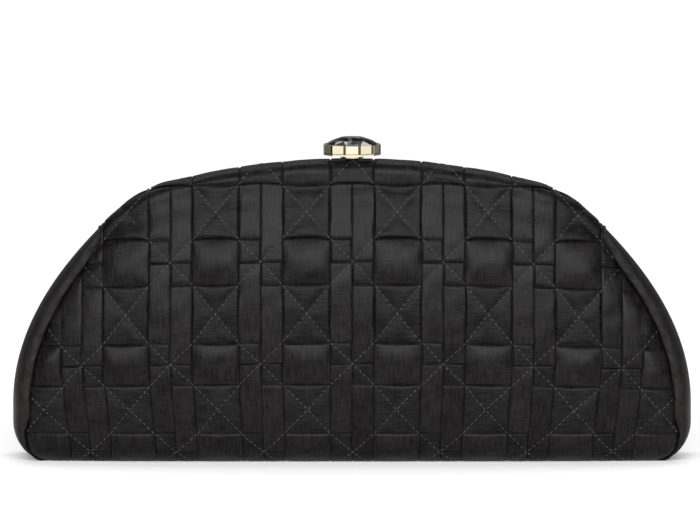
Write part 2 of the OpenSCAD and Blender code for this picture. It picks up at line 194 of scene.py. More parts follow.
# Running height q up the cloth: arc length below the fold, height above it, arc length over the frame.
FOLD = 13.5
_z = np.linspace(FOLD, 0, 600)
_run = np.concatenate([[0], np.cumsum(np.hypot(np.diff(_z), np.diff(mid_y(_z))))])
UNDER = _run[-1]                         # length of cloth from the fold to the base
Q_LOW = FOLD - UNDER
OVER = [8.72, 10.42, 13.56, 14.76]       # ends of the outer turn, flat, lip and tail, past round_z


def height(q):
    return np.where(q < FOLD, np.interp(FOLD - q, _run, _z), q)


def round_z(x):
    return top_z(x) - ROUND_Z


def x_limit(q):
    z = height(np.maximum(q, Q_LOW))
    below = np.minimum(seam_x(z), SLEEVE_END + 0.72 * np.maximum(0, HINGE - q))
    return np.where(q < HINGE, below, SLEEVE_END)


def body_point(x, q):
    """Point of the front cloth at width x and running height q."""
    edge = x_limit(q)
    x = np.clip(x, -edge, edge)
    shoulder = round_z(x)
    t = np.minimum(q - shoulder, OVER[3])
    z = height(np.minimum(q, shoulder))
    sleeve_low = HINGE + (SLEEVE_LOW - HINGE) * (1 - (x / (SIDE_X - 3.5)) ** 2)
    w = smooth((z - sleeve_low + 6) / np.maximum(shoulder - sleeve_low + 6, 1))
    y = mix(panel_y(x / seam_x(z), z), FRAME_Y + 0.15 * (shoulder - z), w)
    a = clamp01(t / OVER[0]) * math.pi / 2
    b = clamp01((t - OVER[1]) / (OVER[2] - OVER[1])) * math.pi / 2
    flat = clamp01((t - OVER[0]) / (OVER[1] - OVER[0]))
    on_top = t > 0
    y = np.where(on_top, FRAME_Y - ROUND_Y + ROUND_Y * np.cos(a), y)
    z = np.where(on_top, shoulder + ROUND_Z * np.sin(a), z)
    y = np.where(t > OVER[0], mix(FRAME_Y - ROUND_Y, MID_GAP + LIP, flat), y)
    y = np.where(t > OVER[1], MID_GAP + LIP - LIP * np.sin(b), y)
    z = np.where(t > OVER[1], z - LIP + LIP * np.cos(b), z)
    z = np.where(t > OVER[2], z - (t - OVER[2]), z)
    return np.stack([x, -y, z], -1)


def body_frame(x, q):
    """Point and outward normal of the front cloth."""
    e = 0.35
    edge = x_limit(q) - e
    xc = np.clip(x, -edge, edge)
    qc = np.clip(q, Q_LOW + e, round_z(xc) + OVER[3] - e)
    dx = body_point(xc + e, qc) - body_point(xc - e, qc)
    dq = body_point(xc, qc + e) - body_point(xc, qc - e)
    return body_point(x, q), unit(np.cross(dx, dq))


# ---- cloth coordinates: u across the weave, q up it ----

UV_MID, UV_STEP = 300, 40                # middle of a cut piece in its own coordinates, and a ribbon's room
NARROW, WIDE = 9.6, 21.0                 # ribbon widths
PITCH = 2 * NARROW + WIDE
_u = np.linspace(0, 176, 900)
_x = _u - 2.0 * (_u / 130) ** 3


def droop(u, q):
    side = np.where(u < 0, 2.0, 3.3)
    return side * (np.minimum(np.abs(u), 135) / 125) ** 2.2 * smooth(q / 62)


def gather(q):
    return 1 - 0.035 * smooth((50 - q) / 50)


def on_body(u, q):
    q2 = q - droop(u, q)
    x = np.sign(u) * np.interp(np.abs(u), _u, _x) * gather(q2)
    return x, q2


def u_limit(q, side):
    """Where the weave meets the gusset seam, in cloth coordinates."""
    u = 130.0 * side * np.ones_like(q)
    for _ in range(4):
        q2 = q - droop(u, q)
        u = side * np.interp(x_limit(q2) / gather(q2), _x, _u)
    return u


def q_end(u):
    """Where the cloth ends inside the frame, in cloth coordinates."""
    q = 120.0 * np.ones_like(u)
    for _ in range(3):
        x, _q = on_body(u, q)
        edge = x_limit(np.minimum(q, HINGE + 1))
        q = round_z(np.clip(x, -edge, edge)) + OVER[3] + droop(u, q)
    return q


def slack(x, z):
    """Soft unevenness of hand-laid cloth, about -1 to 1."""
    r = np.random.default_rng(7)
    out = np.zeros(np.broadcast(x, z).shape)
    for wave in (9.0, 13.0, 17.0, 24.0, 31.0, 43.0):
        a = r.uniform(0, math.pi)
        out = out + np.sin((x * math.cos(a) + z * math.sin(a)) / wave * TURN + r.uniform(0, TURN))
    return out / 2.5


def lay(u, q, level):
    """Points at a level above the body's surface; the cloth is pulled down beside the gusset seam."""
    x, q2 = on_body(u, q)
    p, n = body_frame(x, q2)
    edge = x_limit(q2)
    gap = np.maximum(edge - np.abs(x), 0)
    below = smooth((HINGE + 3 - q2) / 12)
    level = level - 1.3 * np.exp(-gap / 1.7) * below
    lip = smooth((q2 - round_z(np.clip(x, -edge, edge)) - 7.5) / 3)
    level = np.where(level > -0.3, mix(level, 0.2, lip), level)
    level = level + slack(x, q2) * (0.09 + 0.3 * np.exp(-gap / 9) * below)
    foot = smooth(p[..., 2] / 7)
    level = np.where(level > 0, level * foot, level)
    points = p + n * np.asarray(level)[..., None]
    points[..., 2] = np.maximum(points[..., 2], 0.06)
    return points


# ---- the weave ----

COLUMNS = []                             # (left edge, right edge, kind)
for k in range(-3, 4):
    mid = k * PITCH
    COLUMNS += [(mid - NARROW, mid, "n1"), (mid, mid + NARROW, "n2")]
for k in range(-4, 4):
    COLUMNS.append((k * PITCH + NARROW, (k + 1) * PITCH - NARROW, "W"))
COLUMNS.sort()
# (lower edge, upper edge, kind)
ROWS = [(Q_LOW, 3.9, "h2"), (3.9, 13.5, "h1"), (13.5, 35.3, "H"), (35.3, 44.6, "h2"), (44.6, 53.9, "h1"),
        (53.9, 79.2, "H"), (79.2, 89.0, "h2"), (89.0, 98.8, "h1"), (98.8, 122.2, "H"), (122.2, 146.4, "T")]
# rows that each crossing takes up: first, last, and whether a pair crosses a pair there
CROSSINGS = [(ROWS[i][0], ROWS[j][1], pair) for i, j, pair in (
    (0, 1, True), (2, 2, False), (3, 4, True), (5, 5, False), (6, 7, True), (8, 8, False), (9, 9, True))]
UPRIGHT_OVER = {("W", "h1"), ("W", "h2"), ("W", "T"), ("n1", "H"), ("n2", "H"), ("n2", "h1"), ("n1", "h2")}

LEVEL_OVER, LEVEL_UNDER = -0.15, -0.56   # from the body's surface
RIBBON_T = 0.16
INSET = 0.03                             # from a ribbon's edge to its column's or row's
DIVE = 0.95                              # length in which a ribbon goes under
ARCHED = {98.8: ("W", 0.85), 122.2: ("n", 0.85)}   # lower edge: columns that lift it, and by how much


def arch(u, edge):
    """How far a cross ribbon's lower edge is lifted over the uprights that bulge beneath it."""
    if edge not in ARCHED:
        return np.zeros_like(u)
    kind, rise = ARCHED[edge]
    local = (u + PITCH / 2) % PITCH - PITCH / 2
    if kind == "W":
        s = (np.abs(local) - PITCH / 2) / (WIDE / 2)
    else:
        s = local / NARROW
    return rise * np.maximum(0, 1 - s ** 4)


def quilt(u, q):
    """Lobes between the diagonal stitch lines, and the groove along them."""
    local = (u + PITCH / 2) % PITCH - PITCH / 2
    in_pair = np.abs(local) < NARROW
    s_pair, s_wide = local / NARROW, (PITCH / 2 - np.abs(local)) / (WIDE / 2)
    out = np.zeros_like(u)
    for q0, q1, pair in CROSSINGS:
        t = (q - (q0 + q1) / 2) / ((q1 - q0) / 2)
        s = np.where(pair, s_pair, s_wide)
        inside = (in_pair == pair) & (np.abs(t) <= 1)
        size = NARROW if pair else WIDE / 2
        d = np.minimum(np.abs(s - t), np.abs(s + t)) * size / math.sqrt(2)
        lobe = (0.2 if pair else 0.5) * (1 - np.exp(-d / 2.0)) - 0.12 * np.exp(-(d / 1.1) ** 2)
        out = np.where(inside, lobe * smooth((1.02 - np.abs(t)) * 6), out)
    return out


def merged(spans):
    """Joins runs that touch, as (start, end, kinds)."""
    out = []
    for a, b, kind in spans:
        if out and abs(out[-1][1] - a) < 1e-6:
            out[-1] = (out[-1][0], b, out[-1][2] + [kind])
        else:
            out.append((a, b, [kind]))
    return out


def stations(start, end, breaks, step):
    """Stations along a ribbon, closer together where it dives under another."""
    marks = {round(start, 3), round(end, 3)}
    for b in breaks:
        for d in (-2.2, -1.15, -0.8, -0.45, -0.15, 0.15, 0.45, 0.8, 1.15, 2.2):
            marks.add(round(b + d, 3))
    marks = sorted(m for m in marks if start - 0.001 <= m <= end + 0.001)
    out = [marks[0]]
    for m in marks[1:]:
        gap = m - out[-1]
        if gap < 0.22 and m != marks[-1]:
            continue
        for i in range(1, max(1, round(gap / step))):
            out.append(out[-1] + gap / max(1, round(gap / step)))
        out.append(m)
    return np.array(out)


def crowded(n):
    """Places across a ribbon from -1 to 1, closer together at its edges."""
    t = np.linspace(-1, 1, n)
    return np.sign(t) * (1 - (1 - np.abs(t)) ** 1.6)


class Cloth:
    """Collects closed slabs and makes one mesh of them."""

    def __init__(self, rear=False):
        self.points, self.quads, self.uv, self.tint = [], [], [], []
        self.count, self.rear = 0, rear

    def slab(self, top, bottom, uv, tint=0.5):
        nx, nz = top.shape[:2]
        i, j = grid(np.arange(nx - 1), np.arange(nz - 1))
        a = (i * nz + j).ravel()
        face = np.stack([a, a + nz, a + nz + 1, a + 1], -1)
        m = nx * nz
        back = face[:, ::-1] + m

        def wall(p, q):
            return np.stack([p, p + m, q + m, q], -1)
        x, z, end = np.arange(nx - 1) * nz, np.arange(nz - 1), (nx - 1) * nz
        lower, upper = wall(x, x + nz), wall(x + 2 * nz - 1, x + nz - 1)
        left, right = wall(z + 1, z), wall(end + z, end + z + 1)
        quads = np.concatenate([face, back, lower, upper, left, right]) + self.count
        self.points += [top.reshape(-1, 3), bottom.reshape(-1, 3)]
        self.uv += [uv.reshape(-1, 2)] * 2
        self.tint.append(np.full(2 * m, tint))
        self.quads.append(quads)
        self.count += 2 * m

    def build(self, name, material):
        points, quads = np.concatenate(self.points), np.concatenate(self.quads)
        if self.rear:
            points, quads = points * [1, -1, 1], quads[:, ::-1]
        mesh = bpy.data.meshes.new(name)
        mesh.from_pydata((points * MM).tolist(), [], quads.tolist())
        layer = mesh.uv_layers.new(name="Cut")
        uv = np.concatenate(self.uv)[quads.ravel()] * MM
        layer.data.foreach_set("uv", uv.astype(np.float32).ravel())
        tint = mesh.attributes.new("tint", "FLOAT", "POINT")
        tint.data.foreach_set("value", np.concatenate(self.tint).astype(np.float32))
        shade_smooth(mesh)
        mesh.materials.append(material)
        mesh.update()
        return add_object(name, mesh)


def over_and_rise(v, runs, across, bulge):
    """How far a ribbon is on top (0 to 1) along v, and its rise in the middle of each run."""
    on, rise = np.zeros_like(v), np.zeros_like(v)
    for a, b, kinds in runs:
        here = smooth((v - a) / DIVE) * smooth((b - v) / DIVE)
        t = clamp01((v - a) / (b - a))
        on = np.maximum(on, here)
        dome = 4 * t * (1 - t)
        shape = 0.8 * dome + 0.2 * np.sqrt(np.maximum(dome, 0))
        rise = rise + here * bulge(kinds) * shape * (1 - np.abs(across) ** 3)
    return on, rise


def edge_roll(across, half):
    d = (1 - np.abs(across)) * half
    return -0.13 * (1 - smooth(d / 0.35)) - 0.04 * (1 - smooth(d / 1.2))


def wander(v, seed, amount):
    """Slow handmade waver along a ribbon's edge."""
    r = np.random.default_rng(seed)
    out = np.zeros_like(v)
    for wave in (61.0, 33.0, 19.0):
        out = out + np.sin(v / wave * 2 * math.pi + r.uniform(0, 6.3)) * r.uniform(0.3, 1.0)
    return out * amount / 2


PAST_END = 500.0                         # stands for a ribbon's own end among its stations


def upright_ribbons(name, rear, material):
    """The ribbons that run from the base up over the frame. Returns the piece and its cut area."""
    cloth, area = Cloth(rear), 0.0
    for index, (u0, u1, kind) in enumerate(COLUMNS):
        side = 1 if u0 + u1 > 0 else -1
        inner, outer = (u0, u1) if side > 0 else (u1, u0)
        runs = merged([(a, b, r) for a, b, r in ROWS if (kind, r) in UPRIGHT_OVER])
        far = min(q_end(np.array([u0, u1])))
        q = stations(Q_LOW, far - 0.6, [b for r in runs for b in r[:2]], 2.2)
        q = np.concatenate([q, [PAST_END]])
        limit = u_limit(q, side)
        keep = np.abs(limit) > np.abs(inner) + 0.7
        q, limit = q[keep], limit[keep]
        if len(q) < 3:
            continue
        edge = side * np.minimum(np.abs(outer), np.abs(limit))
        lo, hi = np.minimum(inner, edge), np.maximum(inner, edge)
        lo = lo + INSET + wander(q, index, 0.10)
        hi = hi - INSET + wander(q, index + 50, 0.10) * (np.abs(edge) == abs(outer))
        c = crowded(11 if kind != "W" else 17)
        uu = lo[None] + (hi - lo)[None] * (c[:, None] + 1) / 2
        qq = np.broadcast_to(q[None], uu.shape).copy()
        if q[-1] == PAST_END:
            qq[:, -1] = q_end(uu[:, -1])
        cc = np.broadcast_to(c[:, None], uu.shape)
        lifted = qq - sum(arch(uu, b) * np.exp(-((qq - b) / 6) ** 2) for b in ARCHED)
        puff = 1.5 if kind == "W" else 0.3
        on, rise = over_and_rise(lifted, runs, cc, lambda kinds: puff * (0.3 if "T" in kinds else 1))
        level = mix(LEVEL_UNDER, LEVEL_OVER, on) + rise + on * quilt(uu, qq) + edge_roll(cc, (u1 - u0) / 2)
        uv = np.stack([uu - u0 + UV_STEP * index, qq], -1)
        cloth.slab(lay(uu, qq, level), lay(uu, qq, level - RIBBON_T), uv, (index * 0.37) % 1)
        area += float(np.mean(hi - lo) * (np.mean(qq[:, -1]) - q[0]))
    return cloth.build(name, material), area


def cross_ribbons(name, rear, material):
    """The ribbons that run from seam to seam. Returns the piece and its cut area."""
    cloth, area = Cloth(rear), 0.0
    for index, (q0, q1, kind) in enumerate(ROWS):
        runs = merged([(a, b, c) for a, b, c in COLUMNS if (c, kind) not in UPRIGHT_OVER])
        dives = [b for r in runs for b in r[:2]]
        c = crowded(11 if kind in ("h1", "h2") else 21)
        middle = q0 + (q1 - q0) * (c + 1) / 2
        if kind == "T":
            reach = np.linspace(0, 120, 2401)
            ends = [-reach[q_end(-reach) > q0 + 1.2].max(), reach[q_end(reach) > q0 + 1.2].max()]
            u = stations(ends[0], ends[1], dives, 1.3)
            uu = np.broadcast_to(u[:, None], (len(u), len(c))).copy()
        else:
            left, right = u_limit(middle, -1), u_limit(middle, 1)
            u = stations(left.max() + 0.7, right.min() - 0.7, dives, 2.2 if len(c) < 12 else 1.3)
            fan = [0.34, 0.67, 1.0]
            uu = np.concatenate([
                [mix(u[0], left, f) for f in reversed(fan)],
                np.broadcast_to(u[:, None], (len(u), len(c))),
                [mix(u[-1], right, f) for f in fan]])
        cc = np.broadcast_to(c[None], uu.shape)
        bottom = q0 + INSET + wander(uu, index + 100, 0.10) + arch(uu, q0)
        if index == 0:
            bottom = np.full_like(uu, q0)
        top = np.minimum(q1 - INSET + wander(uu, index + 150, 0.10), q_end(uu))
        qq = bottom + (top - bottom) * (cc + 1) / 2
        on, rise = over_and_rise(uu, runs, cc, lambda kinds: 0.12)
        lift = 0.5 * arch(uu, q0) * (1 - smooth((cc + 1) / 0.8))
        level = (mix(LEVEL_UNDER, LEVEL_OVER, on) + rise + on * (quilt(uu, qq) + lift)
                 + edge_roll(cc, (q1 - q0) / 2))
        uv = np.stack([qq - q0 + UV_STEP * index, uu + UV_MID], -1)
        cloth.slab(lay(uu, qq, level), lay(uu, qq, level - RIBBON_T), uv, (index * 0.37 + 0.2) % 1)
        area += float(np.mean(top - bottom) * (uu.max() - uu.min()))
    return cloth.build(name, material), area


def wadding(name, rear, material):
    """The wadded ground under the ribbons, from the base over the frame to its inside."""
    cloth = Cloth(rear)
    q = np.concatenate([np.linspace(Q_LOW, 96, 60), np.linspace(97.5, 150, 44)])
    s = rounded(111)
    left, right = u_limit(q, -1), u_limit(q, 1)
    uu = left[None] + (right - left)[None] * (s[:, None] + 1) / 2
    cut = q_end(uu[:, 60])
    qq = np.where(q[None] > 96, 96 + (q[None] - 96) * (cut[:, None] - 96) / 54, q[None])
    outer = np.full_like(uu, -0.95)
    thick = mix(1.2, 0.5, smooth((qq - 92) / 10))
    cloth.slab(lay(uu, qq, outer), lay(uu, qq, outer - thick), np.stack([uu + UV_MID, qq], -1))
    return cloth.build(name, material)


# ---- materials ----

def socket(node, name, value):
    node.inputs[name].default_value = value


def new_material(name):
    m = bpy.data.materials.new(name)
    m.use_nodes = True
    tree = m.node_tree
    tree.nodes.clear()
    out = tree.nodes.new("ShaderNodeOutputMaterial")
    shader = tree.nodes.new("ShaderNodeBsdfPrincipled")
    tree.links.new(shader.outputs[0], out.inputs[0])
    return m, tree, shader


def group(name, inputs, outputs):
    tree = bpy.data.node_groups.new(name, "ShaderNodeTree")
    for label, kind, value in inputs:
        s = tree.interface.new_socket(name=label, in_out="INPUT", socket_type=kind)
        if value is not None:
            s.default_value = value
    for label, kind in outputs:
        tree.interface.new_socket(name=label, in_out="OUTPUT", socket_type=kind)
    return tree, tree.nodes.new("NodeGroupInput"), tree.nodes.new("NodeGroupOutput")


def feed(tree, value, target):
    """Joins another socket to this one, or gives it a plain value."""
    if hasattr(value, "is_linked"):
        tree.links.new(value, target)
    else:
        target.default_value = value


def math_node(tree, op, *terms):
    n = tree.nodes.new("ShaderNodeMath")
    n.operation = op
    for i, term in enumerate(terms):
        feed(tree, term, n.inputs[i])
    return n.outputs[0]


def mix_colour(tree, factor, a, b):
    n = tree.nodes.new("ShaderNodeMix")
    n.data_type = "RGBA"
    for i, value in ((0, factor), (6, a), (7, b)):
        feed(tree, value, n.inputs[i])
    return n.outputs[2]


def noise(tree, vector, scale, detail=2.0, rough=0.5):
    n = tree.nodes.new("ShaderNodeTexNoise")
    socket(n, "Scale", scale)
    socket(n, "Detail", detail)
    socket(n, "Roughness", rough)
    tree.links.new(vector, n.inputs["Vector"])
    return n.outputs["Fac"]


SURFACE = [("Color", "NodeSocketColor"), ("Roughness", "NodeSocketFloat"), ("Height", "NodeSocketFloat")]


def use_group(tree, node_tree, **values):
    g = tree.nodes.new("ShaderNodeGroup")
    g.node_tree = node_tree
    for name, value in values.items():
        socket(g, name, value)
    return g


def dress(tree, shader, g, bump, distance):
    """Puts a group's colour, roughness and bump on the shader."""
    b = tree.nodes.new("ShaderNodeBump")
    socket(b, "Strength", bump)
    socket(b, "Distance", distance)
    tree.links.new(g.outputs["Height"], b.inputs["Height"])
    tree.links.new(g.outputs["Color"], shader.inputs["Base Color"])
    tree.links.new(g.outputs["Roughness"], shader.inputs["Roughness"])
    tree.links.new(b.outputs[0], shader.inputs["Normal"])


def threads_group():
    """Satin threads: fine streaks along the cloth, finer cross threads, and slow shading."""
    tree, gin, gout = group("Satin Threads", [
        ("Vector", "NodeSocketVector", None),
        ("Dark", "NodeSocketColor", (0.01, 0.01, 0.01, 1)),
        ("Light", "NodeSocketColor", (0.03, 0.03, 0.03, 1)),
        ("Threads", "NodeSocketFloat", 3200.0),
        ("Roughness", "NodeSocketFloat", 0.45),
        ("Tint", "NodeSocketFloat", 0.5)],
        SURFACE)
    new, link, calc = tree.nodes.new, tree.links.new, partial(math_node, tree)
    split = new("ShaderNodeSeparateXYZ")
    link(gin.outputs["Vector"], split.inputs[0])

    def stretched(*stretch):
        join = new("ShaderNodeCombineXYZ")
        for i, amount in enumerate(stretch):
            scale = calc("MULTIPLY", gin.outputs["Threads"], amount)
            link(calc("MULTIPLY", split.outputs[i], scale), join.inputs[i])
        return noise(tree, join.outputs[0], 1.0, 1.0)
    warp, weft = stretched(1.0, 0.09), stretched(0.10, 0.8)
    slow = noise(tree, gin.outputs["Vector"], 130.0, 3.0)
    fleck = calc("ADD", calc("MULTIPLY", warp, 0.65), calc("MULTIPLY", weft, 0.35))
    shade = calc("ADD", calc("MULTIPLY_ADD", fleck, 2.4, -0.85), calc("MULTIPLY_ADD", slow, 0.9, -0.4))
    shade = calc("ADD", shade, calc("MULTIPLY_ADD", gin.outputs["Tint"], 0.24, -0.12))
    clamp = new("ShaderNodeClamp")
    link(shade, clamp.inputs[0])
    colour = mix_colour(tree, clamp.outputs[0], gin.outputs["Dark"], gin.outputs["Light"])
    link(colour, gout.inputs["Color"])
    link(calc("ADD", gin.outputs["Roughness"], calc("MULTIPLY_ADD", slow, 0.2, -0.1)), gout.inputs["Roughness"])
    link(fleck, gout.inputs["Height"])
    return tree


THREADS = threads_group()


def satin(name, dark, light, rough, specular, bump, threads, cut=True):
    m, tree, shader = new_material(name)
    if cut:
        uv = tree.nodes.new("ShaderNodeUVMap")
        uv.uv_map = "Cut"
        where = uv.outputs[0]
    else:
        where = tree.nodes.new("ShaderNodeTexCoord").outputs["Object"]
    tint = tree.nodes.new("ShaderNodeAttribute")
    tint.attribute_name = "tint"
    g = use_group(tree, THREADS, Dark=(*dark, 1), Light=(*light, 1), Threads=threads, Roughness=rough)
    tree.links.new(where, g.inputs["Vector"])
    tree.links.new(tint.outputs["Fac"], g.inputs["Tint"])
    dress(tree, shader, g, bump, 0.0002)
    socket(shader, "Specular IOR Level", specular)
    return m


def wear_group():
    """Handling marks for hard parts: fine scratches, smudges and pits on object coordinates."""
    tree, gin, gout = group("Handled Surface", [
        ("Color", "NodeSocketColor", (0.5, 0.5, 0.5, 1)),
        ("Worn", "NodeSocketColor", (0.6, 0.6, 0.6, 1)),
        ("Roughness", "NodeSocketFloat", 0.2),
        ("Scale", "NodeSocketFloat", 600.0)],
        SURFACE)
    new, link, calc = tree.nodes.new, tree.links.new, partial(math_node, tree)
    where = new("ShaderNodeTexCoord").outputs["Object"]
    fine = new("ShaderNodeTexNoise")
    link(where, fine.inputs["Vector"])
    link(gin.outputs["Scale"], fine.inputs["Scale"])
    socket(fine, "Detail", 4.0)
    smudge = noise(tree, where, 90.0, 3.0)
    stretch = new("ShaderNodeMapping")
    socket(stretch, "Scale", (1.0, 1.0, 9.0))
    link(where, stretch.inputs["Vector"])
    scratch = noise(tree, stretch.outputs[0], 900.0, 2.0, 0.7)
    link(mix_colour(tree, smudge, gin.outputs["Color"], gin.outputs["Worn"]), gout.inputs["Color"])
    rough = calc("ADD", gin.outputs["Roughness"], calc("MULTIPLY_ADD", smudge, 0.16, -0.08))
    link(rough, gout.inputs["Roughness"])
    marks = calc("ADD", calc("MULTIPLY", fine.outputs["Fac"], 0.5), calc("MULTIPLY", scratch, 0.5))
    link(marks, gout.inputs["Height"])
    return tree


HANDLED = wear_group()


def hard(name, colour, worn, rough, metallic, bump=0.05, scale=600.0, specular=0.5):
    m, tree, shader = new_material(name)
    g = use_group(tree, HANDLED, Color=(*colour, 1), Worn=(*worn, 1), Roughness=rough, Scale=scale)
    dress(tree, shader, g, bump, 0.0001)
    socket(shader, "Metallic", metallic)
    socket(shader, "Specular IOR Level", specular)
    return m


def stone_painted_reflections():
    """Cut stone with painted reflections: each facet's colour is painted from clear grey to black in place of
    its inner reflections, and facets that face up are painted darker.
    """
    m, tree, shader = new_material("stone with painted reflections")
    new, link, calc = tree.nodes.new, tree.links.new, partial(math_node, tree)
    normal = new("ShaderNodeNewGeometry").outputs["True Normal"]
    facet = new("ShaderNodeVectorMath")
    facet.operation = "SNAP"
    link(normal, facet.inputs[0])
    facet.inputs[1].default_value = (0.08, 0.08, 0.08)
    facet_reflection_pick = new("ShaderNodeTexWhiteNoise")
    link(facet.outputs[0], facet_reflection_pick.inputs["Vector"])
    inner = new("ShaderNodeTexVoronoi")
    socket(inner, "Scale", 330.0)
    link(new("ShaderNodeTexCoord").outputs["Object"], inner.inputs["Vector"])
    split = new("ShaderNodeSeparateColor")
    link(inner.outputs["Color"], split.inputs[0])
    lean = new("ShaderNodeSeparateXYZ")
    link(normal, lean.inputs[0])
    # painted reflection: facets that face up get less added below, so they are painted darker
    steep = calc("MINIMUM", calc("MULTIPLY_ADD", lean.outputs[2], -2.5, 2.5), 1.0)
    painted_reflection_tone = calc("ADD", calc("MULTIPLY", facet_reflection_pick.outputs["Value"], 0.4), calc("MULTIPLY", split.outputs[0], 0.15))
    painted_reflection_tone = calc("MULTIPLY_ADD", steep, 0.45, painted_reflection_tone)
    # the ramp turns the painted reflection tone into black, dark grey and clear grey facets
    ramp = new("ShaderNodeValToRGB")
    link(painted_reflection_tone, ramp.inputs[0])
    ramp.color_ramp.interpolation = "CONSTANT"
    stops = ramp.color_ramp.elements
    stops[0].color = (0.002, 0.002, 0.003, 1)
    stops[1].position = 0.42
    stops[1].color = (0.10, 0.10, 0.115, 1)
    more = stops.new(0.6)
    more.color = (0.40, 0.39, 0.43, 1)
    link(ramp.outputs[0], shader.inputs["Base Color"])
    socket(shader, "Roughness", 0.04)
    socket(shader, "Metallic", 0.0)
    socket(shader, "IOR", 1.5)
    socket(shader, "Specular IOR Level", 0.1)
    return m


# The cross and upright ribbons are one satin: the cross ribbons' cooler colour and the uprights' warmer colour
# are painted sheen, the reflection that changes with the threads' direction.
# name, dark and light colour, roughness, specular level, bump, threads to a metre
CROSS_SATIN = satin("cross satin, painted cool sheen", (0.0026, 0.0023, 0.0026), (0.0150, 0.0138, 0.0150), 0.40, 0.085, 0.5, 1500.0)
UPRIGHT_SATIN = satin("upright satin, painted warm sheen", (0.0030, 0.0025, 0.0025), (0.0165, 0.0145, 0.0145),
                      0.36, 0.095, 0.5, 1500.0)
GROUND = satin("wadding", (0.006, 0.006, 0.006), (0.012, 0.012, 0.012), 0.8, 0.2, 0.4, 1500.0)
GUSSET_SATIN = satin("gusset satin", (0.0060, 0.0051, 0.0050), (0.0250, 0.0215, 0.0210), 0.5, 0.11, 0.5, 1500.0)
LINING = satin("lining twill", (0.010, 0.0095, 0.011), (0.026, 0.024, 0.028), 0.55, 0.35, 0.3, 2200.0)
THREAD = satin("stitch thread", (0.05, 0.05, 0.053), (0.12, 0.12, 0.127), 0.6, 0.2, 0.2, 1500.0, cut=False)
# name, colour and worn colour, roughness, metallic, bump
GOLD = hard("pale gold", (0.80, 0.68, 0.46), (0.86, 0.76, 0.56), 0.11, 1.0, 0.012)
STEEL = hard("spring steel", (0.42, 0.42, 0.43), (0.5, 0.5, 0.5), 0.3, 1.0)
BOARD = hard("grey board", (0.28, 0.24, 0.19), (0.36, 0.32, 0.26), 0.9, 0.0, 0.5, 1400.0, 0.2)
LEATHER = hard("brown leather", (0.035, 0.02, 0.014), (0.06, 0.035, 0.022), 0.6, 0.0, 0.4, 1500.0)
STONE = stone_painted_reflections()


def facet_shade_lines_group():
    """Painted shade on the bezel: dark lines painted where its facets meet, from 0 on a facet to 1 at its
    corner, and a painted dark line above its lip.
    """
    tree, gin, gout = group("Painted Facet Shade", [
        ("Centre", "NodeSocketVector", None), ("Sides", "NodeSocketFloat", 12.0),
        ("Width", "NodeSocketFloat", 0.09), ("Lip", "NodeSocketFloat", 0.0)], [("Mask", "NodeSocketFloat")])
    new, link, calc = tree.nodes.new, tree.links.new, partial(math_node, tree)
    minus = new("ShaderNodeVectorMath")
    minus.operation = "SUBTRACT"
    link(new("ShaderNodeTexCoord").outputs["Object"], minus.inputs[0])
    link(gin.outputs["Centre"], minus.inputs[1])
    split = new("ShaderNodeSeparateXYZ")
    link(minus.outputs[0], split.inputs[0])
    across, along, up = split.outputs
    angle = calc("ARCTAN2", across, calc("MULTIPLY", along, -1.0))
    turn = calc("MULTIPLY", angle, calc("DIVIDE", gin.outputs["Sides"], 2 * math.pi))
    off = calc("ABSOLUTE", calc("SUBTRACT", calc("FRACT", calc("ADD", turn, 10.5)), 0.5))
    corner = calc("GREATER_THAN", off, calc("SUBTRACT", 0.5, gin.outputs["Width"]))
    above = calc("ABSOLUTE", calc("SUBTRACT", up, gin.outputs["Lip"]))
    line = calc("LESS_THAN", above, 0.00014)
    upper = calc("GREATER_THAN", up, gin.outputs["Lip"])
    link(calc("MAXIMUM", calc("MULTIPLY", corner, upper), line), gout.inputs["Mask"])
    return tree


def bezel_gold_painted_shade():
    m = hard("bezel gold, painted shade", (0.86, 0.76, 0.56), (0.9, 0.81, 0.63), 0.07, 1.0, 0.006)
    tree = m.node_tree
    shader = next(n for n in tree.nodes if n.type == "BSDF_PRINCIPLED")
    plain = shader.inputs["Base Color"].links[0].from_socket
    centre = (low("bezel") + high("bezel")) / 2 * MM
    lip = float(low("bezel")[2] * MM - centre[2] + 0.0009)
    g = use_group(tree, facet_shade_lines_group(), Centre=centre.tolist(), Lip=lip)
    # painted shade: dark gold laid on the facet corners and on the line above the lip
    lined = mix_colour(tree, g.outputs["Mask"], plain, (0.10, 0.085, 0.045, 1))
    tree.links.new(lined, shader.inputs["Base Color"])
    return m


BEZEL_GOLD_PAINTED_SHADE = bezel_gold_painted_shade()


def paint(node, material):
    for slot in frame["nodes"][node].material_slots:
        slot.material = material
    if not frame["nodes"][node].material_slots:
        frame["nodes"][node].data.materials.append(material)


for material, node_names in (
        (GOLD, ("front_frame", "rear_frame", "hinge_pin_left", "hinge_pin_right",
                "keeper_rivets", "clasp_bush", "button_stem")),
        (STEEL, ("keeper", "latch_hook", "latch_clip", "clasp_lock_ring", "clasp_spring")),
        (BOARD, ("front_board", "rear_board", "base_board")),
        (LEATHER, ("clasp_washer",)), (STONE, ("jewel",)), (BEZEL_GOLD_PAINTED_SHADE, ("bezel",))):
    for node_name in node_names:
        paint(node_name, material)


# ---- stitches ----

